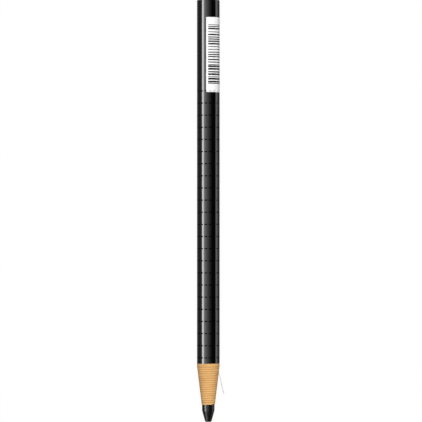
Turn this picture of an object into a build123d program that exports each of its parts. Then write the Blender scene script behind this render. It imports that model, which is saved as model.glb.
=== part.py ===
"""A peel-off china marker lying on a table: wax core, wound paper wrap in tear-off sections, pull string."""

import os
from math import cos, radians, sin

from build123d import *

# Main sizes, in millimetres
overall_length = 177.8
barrel_diameter = 9.5
core_diameter = 5.3

# Point of the core
point_length = 4.85
point_diameter = 2.6
point_rounding = 0.4

# Paper wrap, measured along the marker from the tip
bare_core_length = 7.37
nose_cone_length = 16.0
paper_turns = 18
edge_press = 0.03
first_tear = 27.17
tear_pitch = 5.1
peel_sections = 22
end_rounding = 0.25

# Dashed slits that part the sections
slits_per_ring = 16
slit_sweep_deg = 14.0
slit_width = 0.3
slit_depth = 0.45
slit_turn_deg = 10.0

# Pull string
string_diameter = 0.36
string_cover_turns = 2
string_mouth_length = 1.4
string_bend_length = 0.6
tail_reach = 9.4
tail_spread = 2.3
tail_knuckle_length = 0.5

# Clearances of the pieces that move
core_gap = 0.03
string_gap = 0.05
mouth_gap = 0.15

# Derived sizes
barrel_radius = barrel_diameter / 2
core_radius = core_diameter / 2
bore_radius = core_radius + core_gap
paper_thickness = (barrel_radius - bore_radius) / paper_turns
cone_step = nose_cone_length / (paper_turns - 1)
last_tear = first_tear + peel_sections * tear_pitch
string_radius = string_diameter / 2
string_orbit = barrel_radius - string_cover_turns * paper_thickness - string_gap - string_radius
# The string comes out where the cone has bared the turn of paper that it lies in
mouth_end = bare_core_length + (paper_turns - string_cover_turns) * cone_step
string_exit = mouth_end - string_mouth_length
lead_end = string_exit + string_bend_length
slit_pitch_deg = 360 / slits_per_ring
# The string runs under the bridge between two slits, a quarter turn round from the top
string_turn_deg = slit_turn_deg + (round((90 - slit_turn_deg) / slit_pitch_deg - 0.5) + 0.5) * slit_pitch_deg

# Free end of the string: share of its spread, of its reach and of its drop to the table
tail_course = [
    (0.38, 0.30, 0.09),
    (0.53, 0.53, 0.36),
    (0.72, 0.75, 0.69),
    (0.85, 0.87, 0.90),
    (1.00, 1.00, 1.00),
]


def turned(angle_deg, shape):
    """The shape turned round the marker's axis, from the top towards the string's side."""
    return Rot(0, 0, angle_deg) * shape


def rod(radius, start, end):
    """A round rod along the marker's axis."""
    return Pos(0, 0, start) * Cylinder(radius, end - start, align=(Align.CENTER, Align.CENTER, Align.MIN))


def beside_axis(angle_deg, orbit, shape):
    """The shape moved out from the axis to the orbit, then turned to its angle."""
    return turned(angle_deg, Pos(0, -orbit, 0) * shape)


def string_rod(radius, start, end):
    """A rod on the string's line."""
    return beside_axis(string_turn_deg, string_orbit, rod(radius, start, end))


def slit_ring(at):
    """The blades that cut one dashed ring of slits."""
    length = 2 * barrel_radius * sin(radians(slit_sweep_deg / 2))
    blade = Pos(0, 0, at) * Box(length, 2 * slit_depth, slit_width)
    return [
        beside_axis(slit_turn_deg + k * slit_pitch_deg, barrel_radius, blade)
        for k in range(slits_per_ring)
    ]


def make_core():
    """The wax core, with a blunt rounded point at the front."""
    outline = Polyline(
        (0, 0),
        (point_diameter / 2, 0),
        (core_radius, point_length),
        (core_radius, overall_length),
        (0, overall_length),
        close=True,
    )
    core = revolve(Plane.XZ * make_face(outline), Axis.Z)
    point = core.edges().filter_by(GeomType.CIRCLE).sort_by(Axis.Z)[0]
    return fillet(point, point_rounding)


def make_peel_section():
    """One tear-off ring of wound paper, standing on the origin."""
    ring = rod(barrel_radius, 0, tear_pitch)
    ring -= rod(bore_radius, 0, tear_pitch)
    ring -= string_rod(string_radius + string_gap, 0, tear_pitch)
    return ring - slit_ring(0) - slit_ring(tear_pitch)


def make_tail_section():
    """The undivided rear of the wrap, stuck to the core and the string."""
    body = rod(barrel_radius, last_tear, overall_length)
    rim = body.edges().filter_by(GeomType.CIRCLE).sort_by(Axis.Z)[-1]
    body = fillet(rim, end_rounding)
    body -= rod(core_radius, last_tear, overall_length)
    body -= string_rod(string_radius, last_tear, overall_length)
    return body - slit_ring(last_tear)


def make_nose_section():
    """The front of the wrap, each turn of paper set back from the one inside it."""
    outline = []
    for turn in range(1, paper_turns + 1):
        edge = bare_core_length + (turn - 1) * cone_step
        inner = bore_radius + (turn - 1) * paper_thickness
        pressed = edge_press if turn < paper_turns else 0
        outline += [(inner, edge), (inner + paper_thickness - pressed, edge)]
    outline += [(barrel_radius, first_tear), (bore_radius, first_tear)]
    nose = revolve(Plane.XZ * make_face(Polyline(*outline, close=True)), Axis.Z)
    nose -= string_rod(string_radius, mouth_end, first_tear)
    nose -= string_rod(string_radius + mouth_gap, bare_core_length, mouth_end)
    mouth = Box(
        2 * (string_radius + mouth_gap),
        2 * barrel_radius,
        mouth_end - bare_core_length,
        align=(Align.CENTER, Align.MAX, Align.MIN),
    )
    nose -= beside_axis(string_turn_deg, string_orbit, Pos(0, 0, bare_core_length) * mouth)
    return nose - slit_ring(first_tear)


def make_string_tail():
    """The free end of the string, from its ball at the mouth down to the table."""
    side = radians(string_turn_deg)
    start = Vector(string_orbit * sin(side), -string_orbit * cos(side), string_exit)
    drop = barrel_radius - start.Y - string_radius - string_gap
    points = [
        start + Vector(out * tail_spread, down * drop, -ahead * tail_reach)
        for out, ahead, down in tail_course
    ]
    first = (points[0] - start).normalized()
    knuckle_end = start + first * tail_knuckle_length
    last = (points[-1] - points[-2]).normalized()
    last = Vector(last.X, last.Y / 3, last.Z).normalized()
    path = Spline(knuckle_end, *points, tangents=[first, last])
    section = Plane(knuckle_end, z_dir=first) * Circle(string_radius)
    knuckle = Plane(start, z_dir=first) * rod(string_radius, 0, tail_knuckle_length)
    ball = Pos(*start) * Sphere(string_radius)
    return ball + knuckle + sweep(section, path=path)


def placed(shape):
    """The shape laid on the table, tip towards -Y, with the middle of the marker over the origin."""
    return Pos(0, -overall_length / 2, barrel_radius) * Rot(-90, 0, 0) * shape


peel_section = make_peel_section()
nodes = {
    "wax_core": make_core(),
    "nose_section": make_nose_section(),
    "tail_section": make_tail_section(),
    "pull_string": string_rod(string_radius, first_tear, overall_length),
    "pull_string_lead": string_rod(string_radius, lead_end, first_tear),
    "pull_string_tail": make_string_tail(),
}
for number in range(1, peel_sections + 1):
    front = first_tear + (number - 1) * tear_pitch
    nodes[f"peel_section_{number:02d}"] = Pos(0, 0, front) * peel_section

os.makedirs("parts", exist_ok=True)
for name, shape in nodes.items():
    export_step(placed(shape), f"parts/{name}.step")
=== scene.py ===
import random
from math import cos, exp, pi, radians, sin, tau

import bmesh
import bpy
from bpy.props import FloatProperty, FloatVectorProperty, IntProperty, PointerProperty
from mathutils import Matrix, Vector, noise
from mathutils.geometry import tessellate_polygon


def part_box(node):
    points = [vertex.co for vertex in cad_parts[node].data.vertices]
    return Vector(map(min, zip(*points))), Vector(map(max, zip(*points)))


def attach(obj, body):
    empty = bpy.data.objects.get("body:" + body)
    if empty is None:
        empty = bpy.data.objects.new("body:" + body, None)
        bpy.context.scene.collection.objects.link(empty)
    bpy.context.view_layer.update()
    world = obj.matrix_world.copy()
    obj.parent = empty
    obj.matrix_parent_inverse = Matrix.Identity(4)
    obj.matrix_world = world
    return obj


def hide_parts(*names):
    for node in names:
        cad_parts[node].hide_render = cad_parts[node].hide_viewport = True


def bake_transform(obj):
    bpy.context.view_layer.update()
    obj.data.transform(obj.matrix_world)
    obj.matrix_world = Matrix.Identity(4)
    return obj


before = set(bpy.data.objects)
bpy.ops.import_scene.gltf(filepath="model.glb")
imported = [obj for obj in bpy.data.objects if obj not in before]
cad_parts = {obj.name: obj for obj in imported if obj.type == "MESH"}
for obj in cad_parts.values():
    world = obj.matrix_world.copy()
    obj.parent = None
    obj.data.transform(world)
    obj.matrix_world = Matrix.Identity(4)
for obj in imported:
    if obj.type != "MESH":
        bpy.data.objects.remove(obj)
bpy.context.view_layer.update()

bl_info = {
    "name": "China marker",
    "version": (1, 0, 0),
    "blender": (4, 5, 0),
    "location": "3D View > Sidebar > Marker",
    "description": "Dresses a peel-off china marker: wax core, wound paper wrap, pull string and studio",
    "category": "Object",
}

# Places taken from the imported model, in metres like every length here
core_low, core_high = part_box("wax_core")
TIP = core_low.y
LENGTH = core_high.y - core_low.y
AXIS_HEIGHT = (core_low.z + core_high.z) / 2
FIRST_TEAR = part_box("nose_section")[1].y - TIP
LAST_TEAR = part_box("tail_section")[0].y - TIP
PEEL_NODES = sorted(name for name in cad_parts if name.startswith("peel_section_"))

# Mesh detail of the wrap
SLIT_SPANS = 4
BRIDGE_SPANS = 3
HOLE_SIDES = 14
BODY_ROWS = 4
TAIL_ROWS = 20
RIM_TURNS = (radians(30), radians(60))
END_ROW = 0.00006
ANGLE_SLACK = 0.001
WELD = 0.0000003

# Lacquered skin and its slits; a wave has lobes round the barrel, a run along it and a start
SKIN_WAVE = 0.000003
SKIN_WAVES = ((2, 130, 0.0), (3, -210, 1.3))
STRING_RIDGE = 0.00002
RIDGE_WIDTH = radians(5)
SLIT_PRESS = 0.00003
SLIT_LIP = 0.00008
COAT_THICKNESS = 0.00002
COAT_BEAD = 0.00006
COAT_RUN = 0.0004
# Waves of the coat's front edge: size, lobes and start
COAT_WAVES = ((0.00003, 2, 0.6), (0.00001, 7, 0.0))

# Wound strip of the cone
EDGE_WANDER = 0.00007
FINE_SHARE = 0.5
TURN_WANDER = 0.000012
# Noise that the wander follows: its pace, and its row in the noise field
EDGE_NOISE, FINE_NOISE = (2.3, 0.7, 4.1), (9.1, 5.2, 1.4)
TURN_NOISE = (3.7, 8.3, 2.2)
EDGE_PRESS = 0.00004
# Points at an edge and behind it: distance, share of the way to the next edge, and share of the press
EDGE_POINTS = ((0.0, 0.0, 1.0), (0.00012, 0.13, 0.3), (0.00036, 0.38, 0.0))
# Painted crease shade on the paper band in front of the lacquer: where it starts, its run and its share
BAND_SHADE_START = 0.0232
BAND_SHADE_RUN = 0.0014
BAND_SHADE = 0.3

# Room round the string
STRING_GAP = 0.00005
HOLE_SKIRT = 0.00012
MOUTH_GAP = 0.00015
NOTCH_WALL = radians(0.25)
BLIND_HOLE = 0.0006

# Wax core: its rings, and the wear of its bare part
CORE_SIDES = 96
TIP_ROUND = 0.0003
TIP_FLATTENING = 0.9
TIP_STEPS = 8
POINT_STEPS = 16
SHOULDER = 0.0003
# Rings where the point meets the rod: how far inside the rod, and how far behind the point
SHOULDER_RINGS = ((0.00004, -0.00006), (0.000012, 0.00012))
BARE_RINGS = 9
BARE_START, BARE_STEP = 0.0004, 0.0006
COVERED_STEPS = 20
COVERED_START, COVERED_SHORT = 0.02, 0.0002
REAR_EASE = 0.00012
# Rings of the sawn end: share of the radius, and how far they lie in
REAR_RINGS = ((0.6, 0.00003), (0.0, 0.00002))
WEAR = 0.00001
WEAR_DEPTH = 0.000008
WEAR_END, WEAR_FADE, WEAR_MIDDLE = 0.012, 0.006, 0.001
WEAR_ROUND, WEAR_ALONG = 3, 260

# Course of the string: what is left free at its breaks, and the steps of its mesh
STRING_BREAK = 0.0001
STRING_SHORT = 0.00002
STRING_BEND = 0.0006
RUN_STEP = 0.00018
FREE_STEP = 0.00006
# Points of the free end: shares of the spread, of the reach and of the drop to the table
FREE_COURSE = (
    (0.10, 0.08, 0.02),
    (0.38, 0.30, 0.09),
    (0.53, 0.53, 0.36),
    (0.72, 0.75, 0.69),
    (0.85, 0.87, 0.90),
    (1.00, 1.00, 1.00),
)

# Twist of the thread, and how it loosens where it is frayed
PLIES = 3
PLY_SIDES = 7
PLY_OVERLAP = 1.06
PLY_UNEVEN = 0.08
# Noise of that unevenness: its pace along a ply, how far apart the plies' rows lie, and their level
PLY_PACE, PLY_APART, PLY_LEVEL = 2600, 7.7, 0.4
PLY_LIFT = 0.00001
LAY = 0.0011
FRAY = 0.0008
FRAY_THINNING = 0.55
FRAY_SPREAD = 1.3
# Fibre marks run in millimetres; those of the next ply or hair start further on
MILLIMETRES = 1000
PLY_MARK = 3.3
HAIR_MARK = 1.7

# Stray hairs of the frayed end
HAIR_SEED = 5
HAIRS = 18
END_HAIRS = 10
END_STEPS = 9
CLEAR_STEPS = 6
HAIR_STEPS = 6
HAIR_SIDES = 4
HAIR_RADIUS = 0.000013
HAIR_TAPER = 0.6
HAIR_REACH = (0.0003, 0.0007)
HAIR_LEAN, LEAN_UP = 0.55, (-0.4, 0.6)
HAIR_CURL, CURL_UP = 0.35, (-0.3, 0.3)
HAIR_LIFT = 0.00002

# Edges of the printed panel, and its bars: shares of a cell for where one starts and how wide it is
PRINT_BLUR = 0.00004
PANEL_SIDE_BLUR = 0.008
PRINT_RAGGED = 0.00008
RAGGED_TURN = 200.0
BAR_CELL = 0.00105
BAR_START = 0.35
BAR_LEAST, BAR_MORE = 0.25, 0.5
BARS_ALONG = (0.1424, 0.1673)
BARS_AROUND = (radians(-1), radians(127.5))
BARS_SIDE_BLUR = radians(0.4)

# Sizes of the fibres on the paper's strip and on a ply: metres for one unit of their marks
KRAFT_SCALE = (0.023, 0.00094, 1.0)
THREAD_SCALE = (0.001, 0.0006, 1.0)

# Where wax smears and lacquer soaks into cut paper: depths at which they end and are full
SMEAR = (0.00035, 0.00002)
SOAK = (0.00022, 0.00004)

# Where the sharpened finish of the point starts and is full, from the end of the point
POINT_FADE = (0.0001, -0.0009)

# Colours of wear and of small marks
DUST = (0.30, 0.29, 0.27)
RUBBED_PRINT = (0.62, 0.61, 0.59)
KRAFT_FLECK = (0.30, 0.16, 0.06)
PAPER_GAP = (0.20, 0.10, 0.035)
WAX_BLOOM = (0.22, 0.22, 0.225)
THREAD_FLECK = (0.6, 0.58, 0.53)

# Floor and backdrop
FLOOR_TONES = ((0.42, 0.42, 0.42), (0.46, 0.46, 0.46))
FLOOR_SEEN = (0.88, 0.88, 0.88)
STUDIO_SIDES = 96
STUDIO_REACH = 6.0
STUDIO_HEIGHT = 2.6
COVE = 0.8
FLOOR_ROWS = 8
FLOOR_ROW = 0.65
SHADOW_FADE = (1.0, 3.0)

# Soft light overhead
LAMP_SIDE = 2.0
LAMP_HEIGHT = 3.0
LAMP_ENERGY = 116.8
ROOM_GREY = (0.02, 0.02, 0.02, 1.0)

# Reflection card
CARD_REACH = 4.5
CARD_ARCH = (-92, 91)
CARD_FLOOR = (4.5, 1.0, 0.3, 0.1, 0.05, 0.025)
CARD_LIFT = 0.0003
# Its light: degrees from straight above, positive to the string's side, and radiance.
# It has a strip light, a wash that falls off past the top, a dark gap and a low rim light.
CARD_LIGHT = (
    (-92.0, 1.2),
    (-68.0, 1.2),
    (-66.5, 48.0),
    (-47.5, 41.0),
    (-46.0, 16.0),
    (-30.0, 8.5),
    (-10.0, 4.6),
    (10.0, 1.8),
    (30.0, 0.3),
    (44.0, 0.0),
    (78.0, 0.0),
    (80.0, 5.0),
    (98.0, 7.0),
    (102.0, 3.3),
)

# Faces of the wrap, by material
# Slit faces, lips included, carry painted shade: near-black matt paper
SKIN, PAPER, CUT, SLIT_SHADE = 0, 1, 2, 3

# Sockets of the node groups
FLOAT, VECTOR = "NodeSocketFloat", "NodeSocketVector"


# Settings


class MarkerSizes(bpy.types.PropertyGroup):
    """Sizes of the marker, measured along it from the tip"""

    barrel_diameter: FloatProperty(
        name="Barrel diameter",
        description="Across the lacquered wrap",
        default=0.0095,
        unit="LENGTH",
        precision=5,
    )
    core_diameter: FloatProperty(
        name="Core diameter", description="Across the wax core", default=0.0053, unit="LENGTH", precision=5
    )
    core_gap: FloatProperty(
        name="Core gap",
        description="Room between core and wrap",
        default=0.00003,
        unit="LENGTH",
        precision=6,
    )
    point_length: FloatProperty(
        name="Point length",
        description="Length of the core's point",
        default=0.00485,
        unit="LENGTH",
        precision=5,
    )
    point_diameter: FloatProperty(
        name="Point diameter",
        description="Across the blunt end of the point",
        default=0.0026,
        unit="LENGTH",
        precision=5,
    )
    bare_core: FloatProperty(
        name="Bare core",
        description="Core showing in front of the paper",
        default=0.00737,
        unit="LENGTH",
        precision=5,
    )
    cone_length: FloatProperty(
        name="Cone length",
        description="Length of the stepped paper cone",
        default=0.016,
        unit="LENGTH",
        precision=5,
    )
    paper_turns: IntProperty(
        name="Paper turns", description="Turns of paper round the core", default=18, min=6
    )
    coat_front: FloatProperty(
        name="Coat front",
        description="Where the lacquer begins",
        default=0.02465,
        unit="LENGTH",
        precision=5,
    )
    end_rounding: FloatProperty(
        name="End rounding",
        description="Rounding of the blunt end's rim",
        default=0.00025,
        unit="LENGTH",
        precision=5,
    )
    slits_per_ring: IntProperty(name="Slits", description="Slits in each tear ring", default=16, min=4)
    slit_sweep: FloatProperty(
        name="Slit sweep", description="Angle covered by one slit", default=radians(14), subtype="ANGLE"
    )
    slit_turn: FloatProperty(
        name="Slit turn",
        description="Angle of the first slit from the top",
        default=radians(10),
        subtype="ANGLE",
    )
    slit_width: FloatProperty(
        name="Slit width", description="Opening of a slit", default=0.0003, unit="LENGTH", precision=5
    )
    slit_depth: FloatProperty(
        name="Slit depth", description="Depth of a slit", default=0.00045, unit="LENGTH", precision=5
    )
    string_diameter: FloatProperty(
        name="String diameter",
        description="Across the pull string",
        default=0.00036,
        unit="LENGTH",
        precision=5,
    )
    string_orbit: FloatProperty(
        name="String orbit",
        description="From the axis to the string",
        default=0.00429,
        unit="LENGTH",
        precision=5,
    )
    string_angle: FloatProperty(
        name="String angle",
        description="Where the string lies, from the top",
        default=radians(88.75),
        subtype="ANGLE",
    )
    string_exit: FloatProperty(
        name="String exit",
        description="Where the string turns out of its mouth",
        default=0.0210288,
        unit="LENGTH",
        precision=5,
    )
    mouth_end: FloatProperty(
        name="Mouth end",
        description="Where the string goes under the paper",
        default=0.0224288,
        unit="LENGTH",
        precision=5,
    )
    tail_reach: FloatProperty(
        name="Tail reach",
        description="How far forward the free end lies",
        default=0.0094,
        unit="LENGTH",
        precision=5,
    )
    tail_spread: FloatProperty(
        name="Tail spread",
        description="How far sideways the free end lies",
        default=0.0023,
        unit="LENGTH",
        precision=5,
    )
    panel_front: FloatProperty(
        name="Panel front",
        description="Front edge of the white panel",
        default=0.1389,
        unit="LENGTH",
        precision=5,
    )
    panel_rear: FloatProperty(
        name="Panel rear",
        description="Rear edge of the white panel",
        default=0.1704,
        unit="LENGTH",
        precision=5,
    )
    panel_start: FloatProperty(
        name="Panel start",
        description="First long edge of the panel",
        default=radians(-10.7),
        subtype="ANGLE",
    )
    panel_stop: FloatProperty(
        name="Panel stop",
        description="Second long edge of the panel",
        default=radians(147),
        subtype="ANGLE",
    )


class MarkerColours(bpy.types.PropertyGroup):
    """Colours of the marker's finishes"""

    lacquer: FloatVectorProperty(
        name="Lacquer",
        description="Coat of the barrel",
        default=(0.0015, 0.0015, 0.0017),
        subtype="COLOR",
        min=0,
        max=1,
    )
    kraft: FloatVectorProperty(
        name="Kraft", description="Bare paper", default=(0.72, 0.42, 0.16), subtype="COLOR", min=0, max=1
    )
    # Painted shade: this dark kraft paints the crease shade along the foot of each wound turn, and shows as
    # dark fibres inside the slits
    dark_kraft_and_shade: FloatVectorProperty(
        name="Kraft line",
        description="Paper along the edge of a turn",
        default=(0.40, 0.155, 0.038),
        subtype="COLOR",
        min=0,
        max=1,
    )
    wax: FloatVectorProperty(
        name="Wax", description="Core", default=(0.003, 0.003, 0.0032), subtype="COLOR", min=0, max=1
    )
    thread: FloatVectorProperty(
        name="Thread", description="Pull string", default=(0.74, 0.74, 0.73), subtype="COLOR", min=0, max=1
    )
    print_white: FloatVectorProperty(
        name="Print white",
        description="Panel on the barrel",
        default=(0.9, 0.9, 0.9),
        subtype="COLOR",
        min=0,
        max=1,
    )


class MarkerStage(bpy.types.PropertyGroup):
    """Camera, floor and lights"""

    camera_height: FloatProperty(
        name="Camera height", description="Camera above the marker's axis", default=1.25, unit="LENGTH"
    )
    view_height: FloatProperty(
        name="View height",
        description="Height of the picture at the marker",
        default=0.17795,
        unit="LENGTH",
        precision=5,
    )
    camera_x: FloatProperty(
        name="Camera across",
        description="Camera's place across the marker",
        default=0.00114,
        unit="LENGTH",
        precision=5,
    )
    camera_y: FloatProperty(
        name="Camera along",
        description="Camera's place along the marker",
        default=-0.00001,
        unit="LENGTH",
        precision=5,
    )
    light_level: FloatProperty(
        name="Light level", description="Scale of all the lights", default=1.0, min=0
    )
    floor_glow: FloatProperty(
        name="Floor glow",
        description="Share of plain white in the floor",
        default=0.93,
        min=0,
        max=1,
        subtype="FACTOR",
    )
    floor_mirrored: FloatProperty(
        name="Floor mirrored",
        description="Share of plain white in reflections",
        default=0.3,
        min=0,
        max=1,
        subtype="FACTOR",
    )


# Meshes


def at(angle, radius, along):
    """Point at an angle from the top of the marker, a radius from its axis and a distance from its tip."""
    return Vector((radius * sin(angle), TIP + along, AXIS_HEIGHT + radius * cos(angle)))


def smooth_step(value):
    """Eases a share between 0 and 1."""
    value = min(max(value, 0.0), 1.0)
    return value * value * (3 - 2 * value)


def drift(value, pace, *row):
    """Smooth chance between -1 and 1 along a row of the noise field."""
    return noise.noise(Vector((value * pace, *row)))


def bore_radius(sizes):
    """Inside of the wound paper."""
    return sizes.core_diameter / 2 + sizes.core_gap


def paper_radius(sizes):
    """Outside of the wound paper, under the lacquer."""
    return sizes.barrel_diameter / 2 - COAT_THICKNESS


def skin_radius(sizes, angle, along):
    """Outside of the lacquered wrap, nearly round, with a faint ridge over the string."""
    off = (angle - sizes.string_angle + pi) % tau - pi
    ridge = STRING_RIDGE * exp(-((off / RIDGE_WIDTH) ** 2))
    waves = sum(sin(lobes * angle + run * along + start) for lobes, run, start in SKIN_WAVES)
    return sizes.barrel_diameter / 2 + ridge + SKIN_WAVE * waves


def hole_radius(sizes):
    """Radius of the string's channel in the paper."""
    return sizes.string_diameter / 2 + STRING_GAP


def end_inset(sizes):
    """How far behind a tear ring the plain skin begins."""
    return sizes.slit_width / 2 + SLIT_LIP + END_ROW


def string_place(sizes, along):
    """A place on the straight part of the string."""
    return at(sizes.string_angle, sizes.string_orbit, along)


def wrap_columns(sizes, notch=False):
    """Angles of the wrap's mesh columns, each with True where a slit runs from it to the next one."""
    pitch = tau / sizes.slits_per_ring
    bridge = pitch - sizes.slit_sweep
    columns = []
    for number in range(-(sizes.slits_per_ring // 2), (sizes.slits_per_ring + 1) // 2):
        start = sizes.slit_turn + number * pitch - sizes.slit_sweep / 2
        columns += [(start + sizes.slit_sweep * k / SLIT_SPANS, True) for k in range(SLIT_SPANS)]
        start += sizes.slit_sweep
        angles = [start + bridge * k / BRIDGE_SPANS for k in range(BRIDGE_SPANS)]
        if notch and start < sizes.string_angle < start + bridge:
            angles[1:1] = [start + NOTCH_WALL]
            angles.append(start + bridge - NOTCH_WALL)
        columns += [(angle, False) for angle in angles]
    return columns


def string_bridge(sizes, columns):
    """Numbers of the columns on the bridge over the string, its two slit ends included."""
    half = (tau / sizes.slits_per_ring - sizes.slit_sweep) / 2 + ANGLE_SLACK
    return [j for j, (angle, _) in enumerate(columns) if abs(angle - sizes.string_angle) < half]


def ring(bm, columns, radius, along):
    """A ring of points, at a plain radius or one worked out for each angle."""
    points = []
    for angle, _ in columns:
        here = radius(angle) if callable(radius) else radius
        points.append(bm.verts.new(at(angle, here, along)))
    return points


def face(bm, kind, *corners):
    """A smooth face of one material."""
    made = bm.faces.new(corners)
    made.material_index = kind
    made.smooth = True
    return made


def strip(bm, kind, *rows):
    """Faces between closed rings, each ring to the next."""
    for first, second in zip(rows, rows[1:]):
        for j in range(len(first)):
            k = (j + 1) % len(first)
            face(bm, kind, first[j], first[k], second[k], second[j])


def string_hole(bm, sizes, along):
    """A ring of points round the string's line."""
    centre = string_place(sizes, along)
    out = (at(sizes.string_angle, 1, 0) - at(sizes.string_angle, 0, 0)).normalized()
    side = out.cross(Vector((0, 1, 0)))
    turns = [tau * k / HOLE_SIDES for k in range(HOLE_SIDES)]
    return [bm.verts.new(centre + hole_radius(sizes) * (cos(t) * out + sin(t) * side)) for t in turns]


def wrap_end(bm, sizes, columns, along, into, rounding=0.0):
    """One end of a wound section: paper face, string's hole, and half of each slit or a rounded rim."""
    slits = not rounding
    radius = sizes.barrel_diameter / 2
    floor = radius - sizes.slit_depth
    skirt = sizes.string_orbit - hole_radius(sizes) - HOLE_SKIRT
    back = along + into * sizes.slit_width / 2

    def edge_radius(angle):
        """Outside of the skin where a slit ends."""
        return skin_radius(sizes, angle, back)

    inner = ring(bm, columns, bore_radius(sizes), along)
    middle = ring(bm, columns, skirt, along)
    shelf = ring(bm, columns, floor, along)
    if slits:
        lip = ring(bm, columns, lambda angle: skin_radius(sizes, angle, along), along)
        pocket = ring(bm, columns, floor, back)
        edge = ring(bm, columns, edge_radius, back)
        brow = ring(bm, columns, edge_radius, back + into * SLIT_LIP)
        for j, (angle, slit) in enumerate(columns):
            if slit and columns[j - 1][1]:
                edge[j].co = at(angle, edge_radius(angle) - SLIT_PRESS, back)
            k = (j + 1) % len(columns)
            # Painted shade: the lip beside a slit takes the slit's near-black paper, widening its dark mark
            face(bm, SLIT_SHADE if slit else SKIN, edge[j], edge[k], brow[k], brow[j])
    else:
        lip = ring(bm, columns, radius - rounding, along)
    over_string = string_bridge(sizes, columns)
    for j, (_, slit) in enumerate(columns):
        k = (j + 1) % len(columns)
        slit = slit and slits
        face(bm, CUT, inner[j], inner[k], middle[k], middle[j])
        if slit:
            face(bm, CUT, middle[j], middle[k], shelf[k], shelf[j])
            face(bm, SLIT_SHADE, shelf[j], shelf[k], pocket[k], pocket[j])
            face(bm, SLIT_SHADE, pocket[j], pocket[k], edge[k], edge[j])
        else:
            if not (j in over_string and k in over_string):
                face(bm, CUT, middle[j], middle[k], shelf[k], shelf[j])
                face(bm, CUT, shelf[j], shelf[k], lip[k], lip[j])
            if slits:
                face(bm, SKIN, lip[j], lip[k], edge[k], edge[j])
        if slits and columns[j][1] != columns[j - 1][1]:
            face(bm, SLIT_SHADE, shelf[j], lip[j], edge[j], pocket[j])
    hole = string_hole(bm, sizes, along)
    first, last = over_string[0], over_string[-1]
    border = [middle[j] for j in over_string] + [shelf[last]]
    border += [lip[j] for j in reversed(over_string)] + [shelf[first]]
    corners = border + hole
    for triangle in tessellate_polygon([[v.co for v in border], [v.co for v in hole]]):
        face(bm, CUT, *(corners[i] for i in triangle))
    return inner, (brow if slits else lip), hole


def skin_rows(bm, sizes, columns, front, rear, count):
    """Rings of the lacquered skin from one distance to another, with one more close to each end."""
    between = [front + (rear - front) * k / (count - 1) for k in range(1, count - 1)]
    rows = []
    for along in [front, front + END_ROW, *between, rear - END_ROW, rear]:
        rows.append(ring(bm, columns, lambda angle: skin_radius(sizes, angle, along), along))
    return rows


def new_object(name, data):
    """An object in the scene."""
    made = bpy.data.objects.new(name, data)
    bpy.context.scene.collection.objects.link(made)
    return made


def as_mesh(bm, name):
    """The mesh of a finished bmesh."""
    mesh = bpy.data.meshes.new(name)
    bm.to_mesh(mesh)
    bm.free()
    return mesh


def finished(bm, name, materials, sharp=radians(40)):
    """The object made from a mesh: welded, facing outwards, with crisp edges where it turns sharply."""
    bmesh.ops.remove_doubles(bm, verts=bm.verts, dist=WELD)
    bmesh.ops.dissolve_degenerate(bm, edges=bm.edges, dist=WELD)
    bmesh.ops.delete(bm, geom=[v for v in bm.verts if not v.link_faces], context="VERTS")
    bmesh.ops.recalc_face_normals(bm, faces=bm.faces)
    mesh = as_mesh(bm, name)
    mesh.set_sharp_from_angle(angle=sharp)
    for finish in materials:
        mesh.materials.append(finish)
    return new_object(name, mesh)


def make_peel_section(sizes, number, node):
    """One tear-off ring of wound paper."""
    low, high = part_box(node)
    front, rear = low.y - TIP, high.y - TIP
    inset = end_inset(sizes)
    columns = wrap_columns(sizes)
    bm = bmesh.new()
    inner, edge, hole = wrap_end(bm, sizes, columns, front, 1)
    inner_rear, edge_rear, hole_rear = wrap_end(bm, sizes, columns, rear, -1)
    rows = skin_rows(bm, sizes, columns, front + inset, rear - inset, BODY_ROWS)
    strip(bm, SKIN, edge, *rows, edge_rear)
    strip(bm, CUT, inner, inner_rear)
    strip(bm, CUT, hole, hole_rear)
    return finished(bm, f"peel_wrap_{number:02d}", wrap_materials())


def make_tail_section(sizes):
    """The undivided rear of the wrap, with a rounded rim."""
    columns = wrap_columns(sizes)
    rounding = sizes.end_rounding
    bm = bmesh.new()
    inner, edge, hole = wrap_end(bm, sizes, columns, LAST_TEAR, 1)
    inner_rear, lip, hole_rear = wrap_end(bm, sizes, columns, LENGTH, -1, rounding)
    rows = skin_rows(bm, sizes, columns, LAST_TEAR + end_inset(sizes), LENGTH - rounding, TAIL_ROWS)
    for turn in RIM_TURNS:
        along = LENGTH - rounding * (1 - sin(turn))
        drop = rounding * (1 - cos(turn))
        rows.append(ring(bm, columns, lambda angle: skin_radius(sizes, angle, along) - drop, along))
    strip(bm, SKIN, edge, *rows, lip)
    strip(bm, CUT, inner, inner_rear)
    strip(bm, CUT, hole, hole_rear)
    return finished(bm, "tail_wrap", wrap_materials())


def strip_edge(sizes, wound):
    """Where the front edge of the wound strip lies after a number of turns."""
    step = sizes.cone_length / (sizes.paper_turns - 1)
    wander = drift(wound, *EDGE_NOISE) + FINE_SHARE * drift(wound, *FINE_NOISE)
    return sizes.bare_core + (wound - 0.5) * step + EDGE_WANDER * wander


def strip_outside(sizes, wound):
    """Outside of the wound strip after a number of turns."""
    bore, radius = bore_radius(sizes), paper_radius(sizes)
    thickness = (radius - bore) / sizes.paper_turns
    wander = TURN_WANDER * drift(wound, *TURN_NOISE)
    return min(bore + thickness * (wound + 1) + wander, radius)


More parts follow.
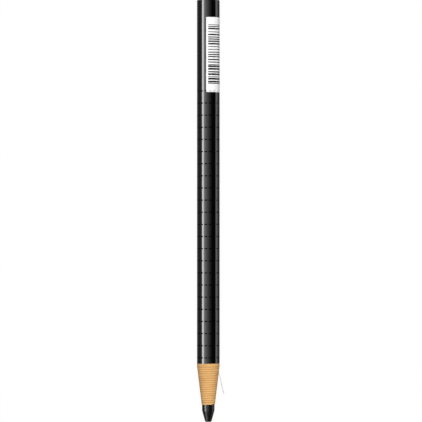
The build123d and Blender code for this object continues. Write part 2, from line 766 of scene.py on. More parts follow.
def strip_profile(sizes, angle, notched):
    """Points down the cone: radius, distance, turns wound and share of the way to the next edge."""
    turns, radius = sizes.paper_turns, paper_radius(sizes)
    notch_floor = sizes.string_orbit - sizes.string_diameter / 2 - MOUTH_GAP
    points = [(bore_radius(sizes), strip_edge(sizes, angle / tau + 0.5), 0.0, 0.0)]
    for turn in range(turns):
        wound = turn + angle / tau + 0.5
        top, edge = strip_outside(sizes, wound), strip_edge(sizes, wound)
        fade = 1 - smooth_step(wound - (turns - 1))
        cut = notch_floor if notched and edge < sizes.mouth_end else radius
        line = []
        for behind, share, press in EDGE_POINTS:
            line.append((top - press * EDGE_PRESS * fade, edge + behind, share))
        if turn < turns - 1:
            line.append((top, strip_edge(sizes, wound + 1), 1.0))
        points += [(min(out, cut), along, wound, share) for out, along, share in line]
    return points


def make_nose_section(sizes):
    """The front of the wrap: a strip of paper wound in a spiral, each turn set back from the last."""
    columns = wrap_columns(sizes, notch=True)
    count = len(columns)
    angles = [angle for angle, _ in columns] + [columns[0][0] + tau]
    over_string = string_bridge(sizes, columns)[1:-1]
    bm = bmesh.new()
    uv = bm.loops.layers.uv.new("strip")
    grid, marks = [], []
    for column, angle in enumerate(angles):
        points = strip_profile(sizes, angle, column in over_string)
        grid.append([bm.verts.new(at(angle, out, along)) for out, along, _, _ in points])
        marks.append([(wound, share) for _, _, wound, share in points])
    inner, edge, hole = wrap_end(bm, sizes, columns, FIRST_TEAR, -1)
    last = len(grid[0]) - 1
    second_turn = len(EDGE_POINTS) + 1

    def coat_edge(angle):
        """Where the lacquer begins at an angle."""
        waves = (size * sin(lobes * angle + start) for size, lobes, start in COAT_WAVES)
        return sum(waves, sizes.coat_front)

    band = [bm.verts.new(at(angle, paper_radius(sizes), coat_edge(angle))) for angle, _ in columns]
    bead = [
        bm.verts.new(at(angle, skin_radius(sizes, angle, sizes.coat_front), coat_edge(angle) + COAT_BEAD))
        for angle, _ in columns
    ]

    def strip_face(*corners):
        """A face of the wound strip; each corner is a column and a row of the grid."""
        made = face(bm, PAPER, *(grid[c][r] for c, r in corners))
        for loop, (c, r) in zip(made.loops, corners):
            loop[uv].uv = marks[c][r]

    for c in range(count):
        for r in range(last):
            if c == count - 1 and r == 0:
                strip_face((c, 0), (c + 1, 0), (0, second_turn), (c + 1, 1), (c, 1))
            else:
                strip_face((c, r), (c + 1, r), (c + 1, r + 1), (c, r + 1))
        k = (c + 1) % count
        # The first column also closes the seams at the strip's two ends
        foot = [grid[count][0]] if c == 0 else []
        face(bm, CUT, inner[c], *foot, grid[c][0], grid[c + 1][0], inner[k])
        lap = [grid[count][r] for r in (last - 3, last - 1, last)] if c == 0 else []
        made = face(bm, PAPER, grid[c][last], *lap, band[c], band[k], grid[c + 1][last])
        left = {grid[c][last], band[c], *lap}
        for loop in made.loops:
            wound = sizes.paper_turns - 0.5 + angles[c if loop.vert in left else c + 1] / tau
            # Painted shade: the band's share rises towards the lacquer's edge, into the kraft's crease-shade
            # range
            shade = smooth_step((loop.vert.co.y - TIP - BAND_SHADE_START) / BAND_SHADE_RUN)
            loop[uv].uv = (wound, EDGE_POINTS[-1][1] + BAND_SHADE * shade)
    strip_face(*((0, r) for r in range(second_turn + 1)), (count, 0))
    front, rear = sizes.coat_front + COAT_RUN, FIRST_TEAR - end_inset(sizes)
    rows = skin_rows(bm, sizes, columns, front, rear, BODY_ROWS)
    strip(bm, SKIN, band, bead, *rows, edge)
    blind = string_hole(bm, sizes, FIRST_TEAR - BLIND_HOLE)
    strip(bm, CUT, hole, blind)
    face(bm, CUT, *blind)
    return finished(bm, "nose_wrap", wrap_materials(), sharp=radians(50))


def core_profile(sizes):
    """Radius and distance from the tip of each ring of the core, from the middle of one end to the other."""
    radius, point = sizes.core_diameter / 2, sizes.point_diameter / 2
    slope = (radius - point) / sizes.point_length
    tip_end = TIP_ROUND * TIP_FLATTENING
    profile = [(0.0, 0.0)]
    for k in range(1, TIP_STEPS):
        turn = pi / 2 * k / TIP_STEPS
        profile.append((point - TIP_ROUND + TIP_ROUND * sin(turn), tip_end * (1 - cos(turn))))
    for k in range(POINT_STEPS + 1):
        along = tip_end + (sizes.point_length - SHOULDER - tip_end) * k / POINT_STEPS
        profile.append((point + slope * along, along))
    profile += [(radius - less, sizes.point_length + behind) for less, behind in SHOULDER_RINGS]
    profile += [(radius, sizes.point_length + BARE_START + BARE_STEP * k) for k in range(BARE_RINGS)]
    covered = LENGTH - COVERED_START - COVERED_SHORT
    profile += [(radius, COVERED_START + covered * k / COVERED_STEPS) for k in range(COVERED_STEPS + 1)]
    profile.append((radius - REAR_EASE, LENGTH))
    return profile + [(radius * share, LENGTH - inside) for share, inside in REAR_RINGS]


def make_core(sizes):
    """The wax core: a sharpened point with a blunt rounded tip, and a sawn rear end."""
    bm = bmesh.new()
    rows = []
    for out, along in core_profile(sizes):
        if out == 0.0:
            rows.append([bm.verts.new(at(0, 0, along))])
            continue
        row = []
        for k in range(CORE_SIDES):
            angle = tau * k / CORE_SIDES
            worn = smooth_step((WEAR_END - along) / WEAR_FADE) * smooth_step(out / WEAR_MIDDLE)
            spot = Vector((WEAR_ROUND * cos(angle), WEAR_ROUND * sin(angle), along * WEAR_ALONG))
            depth = WEAR * noise.noise(spot) - WEAR_DEPTH
            row.append(bm.verts.new(at(angle, out + worn * depth, along)))
        rows.append(row)
    for first, second in zip(rows, rows[1:]):
        for k in range(CORE_SIDES):
            n = (k + 1) % CORE_SIDES
            corners = [first[0]] if len(first) == 1 else [first[k], first[n]]
            corners += [second[0]] if len(second) == 1 else [second[n], second[k]]
            face(bm, 0, *corners)
    return finished(bm, "core", [material("black_wax")], sharp=radians(60))


def read_route(points):
    """Points read along one smooth spline laid over a route's points."""
    curve = bpy.data.curves.new("route", "CURVE")
    curve.dimensions = "3D"
    curve.resolution_u = 16
    spline = curve.splines.new("NURBS")
    spline.points.add(len(points) - 1)
    for knot, place in zip(spline.points, points):
        knot.co = (*place, 1)
    spline.order_u = 3
    spline.use_endpoint_u = True
    carrier = bpy.data.objects.new("route", curve)
    mesh = bpy.data.meshes.new_from_object(carrier)
    path = [v.co.copy() for v in mesh.vertices]
    bpy.data.meshes.remove(mesh)
    bpy.data.objects.remove(carrier)
    bpy.data.curves.remove(curve)
    return path


def even_steps(path, spacing):
    """Places at even steps along a path, with the distance run at each."""
    lengths = [(b - a).length for a, b in zip(path, path[1:])]
    total = sum(lengths)
    count = max(2, round(total / spacing))
    places, done, k = [], 0.0, 0
    for number in range(count + 1):
        want = total * number / count
        while k < len(lengths) - 1 and done + lengths[k] < want:
            done += lengths[k]
            k += 1
        share = min(1.0, (want - done) / lengths[k]) if lengths[k] else 0.0
        places.append((path[k].lerp(path[k + 1], share), want))
    return places


def carried_frames(line):
    """Two directions across a line at each of its points, carried along it without twist."""
    frames = []
    across = None
    for k in range(len(line)):
        ahead = (line[min(k + 1, len(line) - 1)] - line[max(k - 1, 0)]).normalized()
        across = ahead.orthogonal() if across is None else across - across.dot(ahead) * ahead
        across.normalize()
        frames.append((across.copy(), ahead.cross(across)))
    return frames


def add_tube(bm, uv, line, radii, sides, mark):
    """A closed tube along a line of points, marked with the distance along it and the angle round it."""
    turns = [tau * k / sides for k in range(sides)]
    rows = []
    for centre, (one, two), radius in zip(line, carried_frames(line), radii):
        rows.append([bm.verts.new(centre + radius * (cos(t) * one + sin(t) * two)) for t in turns])
    run = 0.0
    for n, (first, second) in enumerate(zip(rows, rows[1:])):
        ahead = run + (line[n + 1] - line[n]).length
        for k in range(sides):
            j = (k + 1) % sides
            made = face(bm, 0, first[k], first[j], second[j], second[k])
            corners = [(run, k), (run, k + 1), (ahead, k + 1), (ahead, k)]
            for loop, (distance, turn) in zip(made.loops, corners):
                loop[uv].uv = (distance * MILLIMETRES + mark, turn / sides)
        run = ahead
    face(bm, 0, *rows[0])
    face(bm, 0, *rows[-1])


def add_hairs(bm, uv, lines):
    """Stray hairs on the plies of a thread, most of them at its frayed end."""
    rng = random.Random(HAIR_SEED)
    for number in range(HAIRS):
        line = lines[number % len(lines)]
        last = len(line) - 1
        if number < END_HAIRS:
            spot = last - rng.randrange(0, END_STEPS)
        else:
            spot = rng.randrange(len(line) // 3, len(line) - CLEAR_STEPS)
        ahead = (line[min(spot + 1, last)] - line[max(spot - 1, 0)]).normalized()
        lean = Vector((rng.uniform(-1, 1), rng.uniform(-1, 1), rng.uniform(*LEAN_UP)))
        reach = rng.uniform(*HAIR_REACH)
        curl = Vector((rng.uniform(-1, 1), rng.uniform(-1, 1), rng.uniform(*CURL_UP)))
        hair, radii = [], []
        for k in range(HAIR_STEPS + 1):
            share = k / HAIR_STEPS
            bent = share * (ahead + HAIR_LEAN * lean) + HAIR_CURL * share * share * curl
            here = line[spot] + reach * bent
            here.z = max(here.z, HAIR_LIFT)
            hair.append(here)
            radii.append(HAIR_RADIUS * (1 - HAIR_TAPER * k / HAIR_STEPS))
        add_tube(bm, uv, hair, radii, HAIR_SIDES, number * HAIR_MARK)


def make_thread(sizes, name, path, spacing, fray=0.0):
    """A thread of plies twisted round a path, loose and hairy over a frayed stretch at its far end."""
    outer = sizes.string_diameter / 2
    # A circle round three touching plies is 1 + 2 / sqrt(3) times as wide as one of them
    ply = outer / (1 + 2 / 3**0.5) * PLY_OVERLAP
    places = even_steps(path, spacing)
    frames = carried_frames([centre for centre, _ in places])
    total = places[-1][1]
    bm = bmesh.new()
    uv = bm.loops.layers.uv.new("ply")
    lines = []
    for number in range(PLIES):
        line, radii = [], []
        for (centre, run), (one, two) in zip(places, frames):
            loose = smooth_step((run - total + fray) / fray) if fray else 0.0
            uneven = 1 + PLY_UNEVEN * drift(run, PLY_PACE, number * PLY_APART, PLY_LEVEL)
            radius = ply * uneven * (1 - FRAY_THINNING * loose)
            turn = tau * (run / LAY + number / PLIES)
            point = centre + (outer - ply) * (1 + FRAY_SPREAD * loose) * (cos(turn) * one + sin(turn) * two)
            point.z = max(point.z, radius + PLY_LIFT)
            line.append(point)
            radii.append(radius)
        add_tube(bm, uv, line, radii, PLY_SIDES, number * PLY_MARK)
        lines.append(line)
    if fray:
        add_hairs(bm, uv, lines)
    return finished(bm, name, [material("cotton_thread")], sharp=radians(80))


def free_string_route(sizes):
    """Route of the string from inside the nose, out of its mouth and down to the table."""
    start = string_place(sizes, sizes.string_exit)
    drop = start.z - sizes.string_diameter / 2 - STRING_GAP
    bend = sizes.string_exit + STRING_BEND
    inside = (FIRST_TEAR - STRING_BREAK, sizes.mouth_end, bend, sizes.string_exit)
    route = [string_place(sizes, along) for along in inside]
    for out, ahead, down in FREE_COURSE:
        route.append(start + Vector((out * sizes.tail_spread, -ahead * sizes.tail_reach, -down * drop)))
    return route


# Materials


class Wiring:
    """Short calls to add and join the nodes of one tree."""

    def __init__(self, tree):
        self.tree = tree

    def add(self, kind, inputs=None, **settings):
        """A new node with its settings and inputs."""
        made = self.tree.nodes.new("ShaderNode" + kind)
        for key, value in settings.items():
            setattr(made, key, value)
        self.fill(made, inputs or {})
        return made

    def fill(self, node, inputs):
        """Feeds a node's inputs."""
        for key, value in inputs.items():
            self.feed(node.inputs[key], value)

    def feed(self, socket, value):
        """Joins a socket to another one, or sets it to a plain value."""
        if isinstance(value, bpy.types.NodeSocket):
            self.tree.links.new(value, socket)
        else:
            socket.default_value = value

    def math(self, operation, *values):
        """The result of a calculation."""
        return self.add("Math", dict(enumerate(values)), operation=operation).outputs[0]

    def product(self, first, *others):
        """Values multiplied together."""
        for other in others:
            first = self.math("MULTIPLY", first, other)
        return first

    def plus(self, base, value, share):
        """A base with a share of a value added."""
        return self.math("ADD", base, self.product(value, share))

    def between(self, value, low, high, start=0.0, stop=1.0):
        """Eases a value from one range to another."""
        inputs = {"Value": value, "From Min": low, "From Max": high, "To Min": start, "To Max": stop}
        return self.add("MapRange", inputs, interpolation_type="SMOOTHSTEP").outputs[0]

    def within(self, value, low, high, blur):
        """A mask of a range, with soft ends."""
        return self.product(
            self.between(value, low - blur, low + blur), self.between(value, high + blur, high - blur)
        )

    def colour(self, share, first, second):
        """Mixes two colours."""
        made = self.add("Mix", {0: share}, data_type="RGBA")
        for socket, value in ((made.inputs[6], first), (made.inputs[7], second)):
            self.feed(socket, value if isinstance(value, bpy.types.NodeSocket) else (*value, 1.0))
        return made.outputs[2]

    def scaled(self, vector, x, y, z):
        """A vector with each part multiplied."""
        return self.add("VectorMath", {0: vector, 1: (x, y, z)}, operation="MULTIPLY").outputs[0]

    def resized(self, vector, scale):
        """A vector with all parts multiplied alike."""
        return self.add("VectorMath", {0: vector, "Scale": scale}, operation="SCALE").outputs[0]

    def noise(self, vector, scale, detail=3.0, roughness=0.55):
        """A noise texture's value."""
        inputs = {"Vector": vector, "Scale": scale, "Detail": detail, "Roughness": roughness}
        return self.add("TexNoise", inputs).outputs[0]

    def group(self, name, inputs=None):
        """The outputs of a shared effect, which is built when it is first wanted."""
        made = self.add("Group", node_tree=bpy.data.node_groups.get(name) or EFFECTS[name](name))
        self.fill(made, inputs or {})
        return made.outputs


def effect(name, outputs, inputs=None):
    """A new node group: its wiring, its input sockets, and a function that feeds its outputs and ends it."""
    tree = bpy.data.node_groups.new(name, "ShaderNodeTree")
    for key, kind in (inputs or {}).items():
        tree.interface.new_socket(key, in_out="INPUT", socket_type=kind)
    for key, kind in outputs.items():
        tree.interface.new_socket(key, in_out="OUTPUT", socket_type=kind)
    wires = Wiring(tree)
    source = tree.nodes.new("NodeGroupInput")
    result = tree.nodes.new("NodeGroupOutput")

    def put_out(**values):
        """Feeds the outputs, and gives the finished group."""
        wires.fill(result, values)
        return tree

    return wires, source.outputs, put_out


def place_effect(name):
    """Where a point is on the marker: angle from the top, distance from the tip, radius and plain place."""
    wires, _, put_out = effect(name, {"Around": FLOAT, "Along": FLOAT, "Radius": FLOAT, "Flat": VECTOR})
    here = wires.add("TexCoord").outputs["Object"]
    parts = wires.add("SeparateXYZ", {0: here}).outputs
    height = wires.math("SUBTRACT", parts[2], AXIS_HEIGHT)
    squares = wires.math("ADD", wires.product(parts[0], parts[0]), wires.product(height, height))
    return put_out(
        Around=wires.math("ARCTAN2", parts[0], height),
        Along=wires.math("SUBTRACT", parts[1], TIP),
        Radius=wires.math("SQRT", squares),
        Flat=here,
    )


def fibre_effect(name):
    """Paper and cotton fibres: a soft cloudy shade, long fibres and dark flecks."""
    wires, source, put_out = effect(
        name, {"Shade": FLOAT, "Flecks": FLOAT, "Height": FLOAT}, {"Vector": VECTOR, "Size": FLOAT}
    )
    place = wires.resized(source["Vector"], source["Size"])
    cloud = wires.noise(place, 900.0, 4.0, 0.6)
    long_fibres = wires.noise(wires.scaled(place, 0.18, 1.0, 1.0), 9000.0, 3.0, 0.6)
    cross_fibres = wires.noise(wires.scaled(place, 1.0, 0.3, 1.0), 6000.0, 2.0, 0.5)
    both = wires.plus(wires.product(long_fibres, 0.65), cross_fibres, 0.35)
    specks = wires.noise(wires.scaled(place, 0.4, 1.0, 1.0), 4200.0, 1.0, 0.4)
    return put_out(
        Shade=wires.plus(wires.product(cloud, 0.45), both, 0.55),
        Flecks=wires.between(specks, 0.66, 0.74),
        Height=both,
    )


def handling_effect(name):
    """Signs of handling on a smooth dark surface: fine drag lines, rubbed patches and specks of dust."""
    wires, source, put_out = effect(
        name,
        {"Lines": FLOAT, "Rubbed": FLOAT, "Dust": FLOAT, "Height": FLOAT},
        {"Vector": VECTOR, "Size": FLOAT},
    )
    place = wires.resized(source["Vector"], source["Size"])
    lines = wires.noise(wires.scaled(place, 1.0, 0.04, 1.0), 5200.0, 3.0, 0.6)
    specks = wires.add("TexVoronoi", {"Vector": place, "Scale": 1300.0}, feature="F1").outputs["Distance"]
    rare = wires.between(wires.noise(place, 700.0, 1.0, 0.5), 0.56, 0.66)
    peel = wires.noise(place, 1500.0, 2.0, 0.5)
    return put_out(
        Lines=lines,
        Rubbed=wires.between(wires.noise(place, 240.0, 4.0, 0.62), 0.5, 0.78),
        Dust=wires.product(wires.between(specks, 0.16, 0.06), rare),
        Height=wires.plus(wires.product(peel, 0.95), lines, 0.05),
    )


def panel_effect(name):
    """The panel printed near the blunt end: its place, and its white, with bars of chance widths left out."""
    sizes = bpy.context.scene.marker_sizes
    wires, _, put_out = effect(name, {"Panel": FLOAT, "Ink": FLOAT})
    place = wires.group("Marker place")
    ragged = wires.product(wires.math("SUBTRACT", wires.noise(place["Flat"], 2600.0), 0.5), PRINT_RAGGED)
    along = wires.math("ADD", place["Along"], ragged)
    around = wires.plus(place["Around"], ragged, RAGGED_TURN)
    panel = wires.product(
        wires.within(along, sizes.panel_front, sizes.panel_rear, PRINT_BLUR),
        wires.within(around, sizes.panel_start, sizes.panel_stop, PANEL_SIDE_BLUR),
    )
    cells = wires.math("DIVIDE", along, BAR_CELL)
    in_cell = wires.math("FRACT", cells)
    chance = wires.add("TexWhiteNoise", {"W": wires.math("FLOOR", cells)}, noise_dimensions="1D").outputs
    parts = wires.add("SeparateColor", {0: chance["Color"]}).outputs
    start = wires.product(parts[0], BAR_START)
    stop = wires.math("ADD", start, wires.plus(BAR_LEAST, parts[1], BAR_MORE))
    bars = wires.product(
        wires.math("GREATER_THAN", in_cell, start),
        wires.math("LESS_THAN", in_cell, stop),
        wires.within(along, *BARS_ALONG, PRINT_BLUR),
        wires.within(around, *BARS_AROUND, BARS_SIDE_BLUR),
    )
    return put_out(Panel=panel, Ink=wires.math("SUBTRACT", panel, wires.product(panel, bars)))


EFFECTS = {
    "Marker place": place_effect,
    "Fibres": fibre_effect,
    "Handling": handling_effect,
    "Printed panel": panel_effect,
}


def empty_material(name):
    """A material with no nodes yet, and its wiring."""
    made = bpy.data.materials.new(name)
    made.use_nodes = True
    made.node_tree.nodes.clear()
    return made, Wiring(made.node_tree)


def bump(wires, height, distance, strength):
    """A normal raised by a height."""
    return wires.add("Bump", {"Height": height, "Distance": distance, "Strength": strength}).outputs[0]


def tinted(colour, gain, lift=0.0):
    """A colour made lighter or darker."""
    return tuple(min(1.0, part * gain + lift) for part in colour)


def lacquer_finish(wires, scene):
    """Glossy black coat with a plain white panel of bars printed near the blunt end."""
    colours = scene.marker_colours
    place = wires.group("Marker place")
    handling = wires.group("Handling", {"Vector": place["Flat"], "Size": 1.0})
    printed = wires.group("Printed panel")
    ink = printed["Ink"]
    coat = wires.colour(wires.product(handling["Dust"], 0.10), colours.lacquer, DUST)
    white = wires.colour(wires.product(handling["Rubbed"], 0.10), colours.print_white, RUBBED_PRINT)
    height = wires.plus(handling["Height"], printed["Panel"], 0.8)
    return {
        "Base Color": wires.colour(ink, coat, white),
        "Roughness": wires.plus(wires.plus(0.38, handling["Lines"], 0.14), ink, 0.12),
        "Specular IOR Level": 0.0,
        "Coat Weight": wires.plus(wires.plus(0.3, handling["Rubbed"], -0.03), ink, -0.15),
        "Coat Roughness": 0.06,
        "Coat IOR": 1.5,
        "Normal": bump(wires, height, 0.000004, 0.6),
    }


def kraft_finish(wires, scene):
    """Bare brown paper wound in turns, with painted shade along the foot of each turn and a darker strip just
    behind each front edge.
    """
    colours = scene.marker_colours
    mark = wires.add("UVMap", uv_map="strip").outputs[0]
    share = wires.add("SeparateXYZ", {0: mark}).outputs[1]
    fibres = wires.group("Fibres", {"Vector": wires.scaled(mark, *KRAFT_SCALE), "Size": 1.0})
    per_turn = wires.noise(wires.scaled(mark, 1.0, 0.0, 0.0), 1.7, 3.0, 0.7)
    shade = wires.plus(wires.product(fibres["Shade"], 0.55), per_turn, 0.55)
    # Painted shade: foot darkens the crease where each turn meets the next one up, worn darkens the strip
    # just behind each front edge, both towards the dark kraft
    foot = wires.product(wires.between(share, 0.66, 0.97), 0.95)
    worn = wires.product(wires.between(share, 0.14, 0.0), 0.30)
    dark, pale = tinted(colours.kraft, 0.84), tinted(colours.kraft, 1.12, 0.02)
    tone = wires.colour(wires.between(shade, 0.35, 0.75), dark, pale)
    tone = wires.colour(wires.math("ADD", foot, worn), tone, colours.dark_kraft_and_shade)
    tone = wires.colour(wires.product(fibres["Flecks"], 0.25), tone, KRAFT_FLECK)
    return {
        "Base Color": tone,
        "Roughness": wires.between(fibres["Height"], 0.3, 0.7, 0.78, 0.62),
        "Specular IOR Level": 0.0,
        "Normal": bump(wires, fibres["Height"], 0.000014, 0.8),
    }


def cut_paper_finish(wires, scene):
    """Cut ends of the wound paper: pale edges of the turns with dark gaps between them."""
    sizes, colours = scene.marker_sizes, scene.marker_colours
    place = wires.group("Marker place")
    fibres = wires.group("Fibres", {"Vector": place["Flat"], "Size": 1.6})
    bore, outside = bore_radius(sizes), sizes.barrel_diameter / 2
    thickness = (outside - bore) / sizes.paper_turns
    turn = wires.math("DIVIDE", wires.math("SUBTRACT", place["Radius"], bore), thickness)
    turn = wires.math("SUBTRACT", turn, wires.math("DIVIDE", place["Around"], tau))
    turn = wires.plus(turn, wires.noise(place["Flat"], 700.0), 0.7)
    swing = wires.math("ABSOLUTE", wires.math("SUBTRACT", wires.math("FRACT", turn), 0.5))
    gap = wires.between(swing, 0.30, 0.48)
    smear = wires.between(place["Radius"], *(bore + depth for depth in SMEAR))
    soak = wires.between(place["Radius"], *(outside - depth for depth in SOAK))
    light = wires.between(fibres["Shade"], 0.35, 0.7)
    tone = wires.colour(light, colours.kraft, tinted(colours.kraft, 1.1, 0.05))
    tone = wires.colour(wires.product(gap, 0.7), tone, PAPER_GAP)
    tone = wires.colour(wires.product(smear, 0.75), tone, colours.wax)
    tone = wires.colour(wires.product(soak, 0.9), tone, colours.lacquer)
    height = wires.math("SUBTRACT", wires.product(fibres["Height"], 0.6), gap)
    return {
        "Base Color": tone,
        "Roughness": wires.between(fibres["Height"], 0.3, 0.7, 0.88, 0.72),
        "Specular IOR Level": 0.05,
        "Normal": bump(wires, height, 0.00003, 0.9),
    }


def slit_shade_finish(wires, scene):
    """Inside of a slit: near-black paper as painted shade of the deep narrow cut, pale where print ran in,
    matt and fibrous.
    """
    colours = scene.marker_colours
    place = wires.group("Marker place")
    fibres = wires.group("Fibres", {"Vector": place["Flat"], "Size": 1.6})
    bare = wires.product(wires.between(fibres["Shade"], 0.5, 0.7), 0.05)
    # Painted shade: the slit's paper takes the lacquer's near black, with a trace of dark kraft fibre
    tone = wires.colour(bare, colours.lacquer, colours.dark_kraft_and_shade)
    ink = wires.product(wires.group("Printed panel")["Ink"], 0.7)
    return {
        "Base Color": wires.colour(ink, tone, colours.print_white),
        "Roughness": wires.between(fibres["Height"], 0.3, 0.7, 0.95, 0.8),
        "Specular IOR Level": 0.0,
        "Normal": bump(wires, fibres["Height"], 0.00002, 0.9),
    }


def wax_finish(wires, scene):
    """Black wax: a polished rod with rubbed spots, and a satin point with fine sharpening lines."""
    sizes, colours = scene.marker_sizes, scene.marker_colours
    place = wires.group("Marker place")
    handling = wires.group("Handling", {"Vector": place["Flat"], "Size": 1.4})
    rounds = wires.noise(wires.scaled(place["Flat"], 0.05, 1.0, 0.05), 7000.0, 2.0, 0.6)
    on_point = wires.between(place["Along"], *(sizes.point_length + behind for behind in POINT_FADE))
    cuts = wires.product(wires.between(rounds, 0.35, 0.7), on_point)
    bloom = wires.plus(wires.product(handling["Rubbed"], 0.02), cuts, 0.01)
    bloom = wires.plus(bloom, handling["Dust"], 0.05)
    rough = wires.plus(0.22, handling["Rubbed"], 0.08)
    return {
        "Base Color": wires.colour(bloom, colours.wax, WAX_BLOOM),
        "Roughness": wires.plus(rough, cuts, 0.1),
        "Specular IOR Level": 0.04,
        "Coat Weight": wires.product(wires.math("SUBTRACT", 1.0, on_point), 0.1),
        "Coat Roughness": 0.15,
        "Coat IOR": 1.5,
        "Normal": bump(wires, wires.plus(handling["Height"], cuts, 0.3), 0.000003, 0.7),
    }


def thread_finish(wires, scene):
    """White cotton thread: fibres along each ply, soft and matt."""
    colours = scene.marker_colours
    mark = wires.add("UVMap", uv_map="ply").outputs[0]
    fibres = wires.group("Fibres", {"Vector": wires.scaled(mark, *THREAD_SCALE), "Size": 2.2})
    light = wires.between(fibres["Shade"], 0.3, 0.7)
    tone = wires.colour(light, tinted(colours.thread, 0.82), colours.thread)
    return {
        "Base Color": wires.colour(wires.product(fibres["Flecks"], 0.2), tone, THREAD_FLECK),
        "Roughness": wires.between(fibres["Height"], 0.3, 0.7, 0.92, 0.8),
        "Specular IOR Level": 0.05,
        "Normal": bump(wires, fibres["Height"], 0.00001, 0.9),
    }


FINISHES = {
    "black_lacquer": lacquer_finish,
    "bare_kraft": kraft_finish,
    "cut_paper": cut_paper_finish,
    "slit_shade_paper": slit_shade_finish,
    "black_wax": wax_finish,
    "cotton_thread": thread_finish,
}


def material(name):
    """A material of the marker, made when it is first wanted: a Principled shader fed by its finish."""
    made = bpy.data.materials.get(name)
    if made is None:
        made, wires = empty_material(name)
        shader = wires.add("BsdfPrincipled", FINISHES[name](wires, bpy.context.scene))
        wires.add("OutputMaterial", {0: shader.outputs[0]})
    return made


def wrap_materials():
    """Materials of a piece of the wrap, in the order of SKIN, PAPER, CUT and SLIT_SHADE."""
    return [material(name) for name in ("black_lacquer", "bare_kraft", "cut_paper", "slit_shade_paper")]


# Stage


def studio_material(stage):
    """White floor and backdrop: plain white to the eye, less so in reflections, with the marker's shadow."""
    made, wires = empty_material("studio_white")
    place = wires.add("TexCoord").outputs["Object"]
    away = wires.add("VectorMath", {0: place}, operation="LENGTH").outputs["Value"]
    white = wires.between(away, *SHADOW_FADE, stage.floor_glow, 1.0)
    path = wires.add("LightPath").outputs
    dim = wires.colour(wires.noise(place, 60.0, 4.0), *FLOOR_TONES)
    tone = wires.colour(path["Is Camera Ray"], dim, FLOOR_SEEN)
    paper = wires.add("BsdfDiffuse", {"Color": tone})
    glow = wires.add("Emission", {"Color": (1.0, 1.0, 1.0, 1.0), "Strength": 1.0})
    seen = wires.product(wires.math("MAXIMUM", path["Is Camera Ray"], path["Is Transmission Ray"]), white)
    mirrored = wires.product(path["Is Glossy Ray"], stage.floor_mirrored)
    share = wires.math("MAXIMUM", seen, mirrored)
    front = wires.add("MixShader", {0: share, 1: paper.outputs[0], 2: glow.outputs[0]})
    behind = wires.add("NewGeometry").outputs["Backfacing"]
    clear = wires.add("BsdfTransparent")
    both = wires.add("MixShader", {0: behind, 1: front.outputs[0], 2: clear.outputs[0]})
    wires.add("OutputMaterial", {0: both.outputs[0]})
    return made


def make_studio(stage):
    """Floor that curves up into a backdrop, both white."""
    profile = [(FLOOR_ROW * k, 0.0) for k in range(1, FLOOR_ROWS + 1)]
    for turn in range(0, 91, 10):
        across, up = sin(radians(turn)), 1 - cos(radians(turn))
        profile.append((STUDIO_REACH - COVE + COVE * across, COVE * up))
    profile.append((STUDIO_REACH, STUDIO_HEIGHT))
    turns = [tau * k / STUDIO_SIDES for k in range(STUDIO_SIDES)]
    bm = bmesh.new()
    centre = bm.verts.new((0, 0, 0))
    rows = [[bm.verts.new((out * cos(t), out * sin(t), up)) for t in turns] for out, up in profile]
    for k in range(STUDIO_SIDES):
        face(bm, 0, centre, rows[0][k], rows[0][(k + 1) % STUDIO_SIDES])
    for first, second in zip(rows, rows[1:]):
        for k in range(STUDIO_SIDES):
            n = (k + 1) % STUDIO_SIDES
            face(bm, 0, first[k], second[k], second[n], first[n])
    mesh = as_mesh(bm, "studio")
    mesh.materials.append(studio_material(stage))
    return new_object("studio", mesh)


def card_material(stage):
    """Light of the reflection card, by the angle from straight above the marker."""
    made, wires = empty_material("card_light")
    made.cycles.emission_sampling = "NONE"
    angle = wires.group("Marker place")["Around"]
    first, last = radians(CARD_LIGHT[0][0]), radians(CARD_LIGHT[-1][0])
    peak = max(radiance for _, radiance in CARD_LIGHT)
    share = wires.math("DIVIDE", wires.math("SUBTRACT", angle, first), last - first)
    ramp = wires.add("ValToRGB", {0: share})
    stops = ramp.color_ramp.elements
    stops.remove(stops[1])
    for k, (degrees, radiance) in enumerate(CARD_LIGHT):
        stop = stops.new((radians(degrees) - first) / (last - first)) if k else stops[0]
        stop.color = (radiance / peak,) * 3 + (1.0,)
    glow = wires.add("Emission", {"Color": ramp.outputs[0], "Strength": peak * stage.light_level})
    wires.add("OutputMaterial", {0: glow.outputs[0]})
    return made


def make_card(stage):
    """A curved card over the marker, with a flat strip on the floor; it shows in reflections alone."""
    angles = [radians(degrees) for degrees in range(CARD_ARCH[0], CARD_ARCH[1] + 1)]
    arch = [(CARD_REACH * sin(a), AXIS_HEIGHT + CARD_REACH * cos(a)) for a in angles]
    floor_strip = [(x, CARD_LIFT) for x in CARD_FLOOR]
    bm = bmesh.new()
    for profile in (arch, floor_strip):
        rows = [[bm.verts.new((x, y, z)) for y in (-CARD_REACH, CARD_REACH)] for x, z in profile]
        for first, second in zip(rows, rows[1:]):
            face(bm, 0, first[0], first[1], second[1], second[0])
    mesh = as_mesh(bm, "card")
    mesh.materials.append(card_material(stage))
    card = new_object("card", mesh)
    for rays in ("camera", "diffuse", "transmission", "volume_scatter", "shadow"):
        setattr(card, "visible_" + rays, False)
    return card


def add_lamp(stage):
    """A square soft light overhead; it lights the surfaces and stays out of reflections."""
    data = bpy.data.lights.new("soft_panel", "AREA")
    data.shape = "SQUARE"
    data.size = LAMP_SIDE
    data.energy = LAMP_ENERGY * stage.light_level
    lamp = new_object("soft_panel", data)
    lamp.location = (0, 0, LAMP_HEIGHT)
    lamp.visible_camera = False
    lamp.visible_glossy = False


def add_camera(stage):
    """The camera over the marker, at the photograph's framing."""
    data = bpy.data.cameras.new("camera")
    data.sensor_width = 36.0
    data.lens = data.sensor_width * stage.camera_height / stage.view_height
    data.clip_start, data.clip_end = 0.05, 12.0
    camera = new_object("camera", data)
    camera.location = (stage.camera_x, stage.camera_y, AXIS_HEIGHT + stage.camera_height)
    bpy.context.scene.camera = camera


# Operators


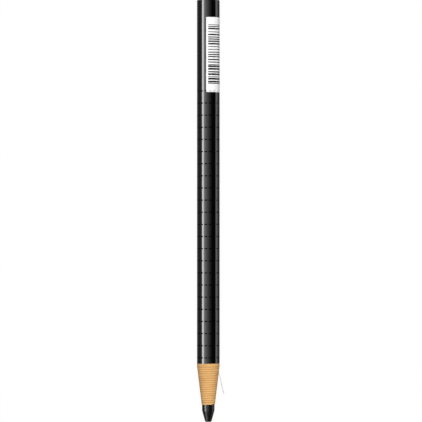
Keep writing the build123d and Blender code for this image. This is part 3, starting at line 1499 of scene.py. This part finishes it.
class MARKER_OT_stage(bpy.types.Operator):
    """Set the floor, backdrop, camera and lights"""

    bl_idname = "marker.stage"
    bl_label = "Stage"

    def execute(self, context):
        scene, stage = context.scene, context.scene.marker_stage
        scene.view_settings.view_transform = "Standard"
        make_studio(stage)
        add_camera(stage)
        add_lamp(stage)
        make_card(stage)
        world = bpy.data.worlds.new("room")
        world.use_nodes = True
        world.node_tree.nodes["Background"].inputs[0].default_value = ROOM_GREY
        scene.world = world
        return {"FINISHED"}


class MARKER_OT_core(bpy.types.Operator):
    """Make the wax core with its blunt point"""

    bl_idname = "marker.core"
    bl_label = "Wax core"

    def execute(self, context):
        piece = make_core(context.scene.marker_sizes)
        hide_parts("wax_core")
        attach(piece, "barrel")
        return {"FINISHED"}


class MARKER_OT_nose(bpy.types.Operator):
    """Make the stepped paper cone and the first lacquered band"""

    bl_idname = "marker.nose"
    bl_label = "Nose wrap"

    def execute(self, context):
        piece = make_nose_section(context.scene.marker_sizes)
        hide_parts("nose_section")
        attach(piece, "nose")
        return {"FINISHED"}


class MARKER_OT_peel_sections(bpy.types.Operator):
    """Make the tear-off rings of wound paper"""

    bl_idname = "marker.peel_sections"
    bl_label = "Peel sections"

    def execute(self, context):
        for number, node in enumerate(PEEL_NODES, start=1):
            piece = make_peel_section(context.scene.marker_sizes, number, node)
            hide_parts(node)
            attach(piece, f"section_{number:02d}")
        return {"FINISHED"}


class MARKER_OT_tail(bpy.types.Operator):
    """Make the undivided rear of the wrap with its printed panel"""

    bl_idname = "marker.tail"
    bl_label = "Tail wrap"

    def execute(self, context):
        piece = make_tail_section(context.scene.marker_sizes)
        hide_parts("tail_section")
        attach(piece, "barrel")
        return {"FINISHED"}


class MARKER_OT_string(bpy.types.Operator):
    """Make the pull string: the run inside the barrel and the free end out of the nose"""

    bl_idname = "marker.string"
    bl_label = "Pull string"

    def execute(self, context):
        sizes = context.scene.marker_sizes
        ends = (FIRST_TEAR + STRING_BREAK, LENGTH - STRING_SHORT)
        run = [string_place(sizes, along) for along in ends]
        inside = make_thread(sizes, "string_run", run, RUN_STEP)
        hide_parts("pull_string")
        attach(inside, "barrel")
        route = free_string_route(sizes)
        free = make_thread(sizes, "string_free", read_route(route), FREE_STEP, fray=FRAY)
        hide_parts("pull_string_lead", "pull_string_tail")
        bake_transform(free)
        return {"FINISHED"}


OPERATORS = (
    MARKER_OT_stage,
    MARKER_OT_core,
    MARKER_OT_nose,
    MARKER_OT_peel_sections,
    MARKER_OT_tail,
    MARKER_OT_string,
)


class MARKER_PT_sidebar(bpy.types.Panel):
    """Lists the marker's pieces and settings"""

    bl_idname = "MARKER_PT_sidebar"
    bl_label = "China marker"
    bl_space_type = "VIEW_3D"
    bl_region_type = "UI"
    bl_category = "Marker"

    def draw(self, context):
        for operator in OPERATORS:
            self.layout.operator(operator.bl_idname)
        scene = context.scene
        for settings in (scene.marker_sizes, scene.marker_colours, scene.marker_stage):
            box = self.layout.box()
            for key in settings.__annotations__:
                box.prop(settings, key)


CLASSES = (MarkerSizes, MarkerColours, MarkerStage, *OPERATORS, MARKER_PT_sidebar)


def register():
    for made in CLASSES:
        bpy.utils.register_class(made)
    bpy.types.Scene.marker_sizes = PointerProperty(type=MarkerSizes)
    bpy.types.Scene.marker_colours = PointerProperty(type=MarkerColours)
    bpy.types.Scene.marker_stage = PointerProperty(type=MarkerStage)


def unregister():
    del bpy.types.Scene.marker_stage
    del bpy.types.Scene.marker_colours
    del bpy.types.Scene.marker_sizes
    for made in reversed(CLASSES):
        bpy.utils.unregister_class(made)


def main():
    register()
    bpy.ops.marker.stage()
    bpy.ops.marker.string()
    bpy.ops.marker.core()
    bpy.ops.marker.nose()
    bpy.ops.marker.peel_sections()
    bpy.ops.marker.tail()


if __name__ == "__main__":
    main()
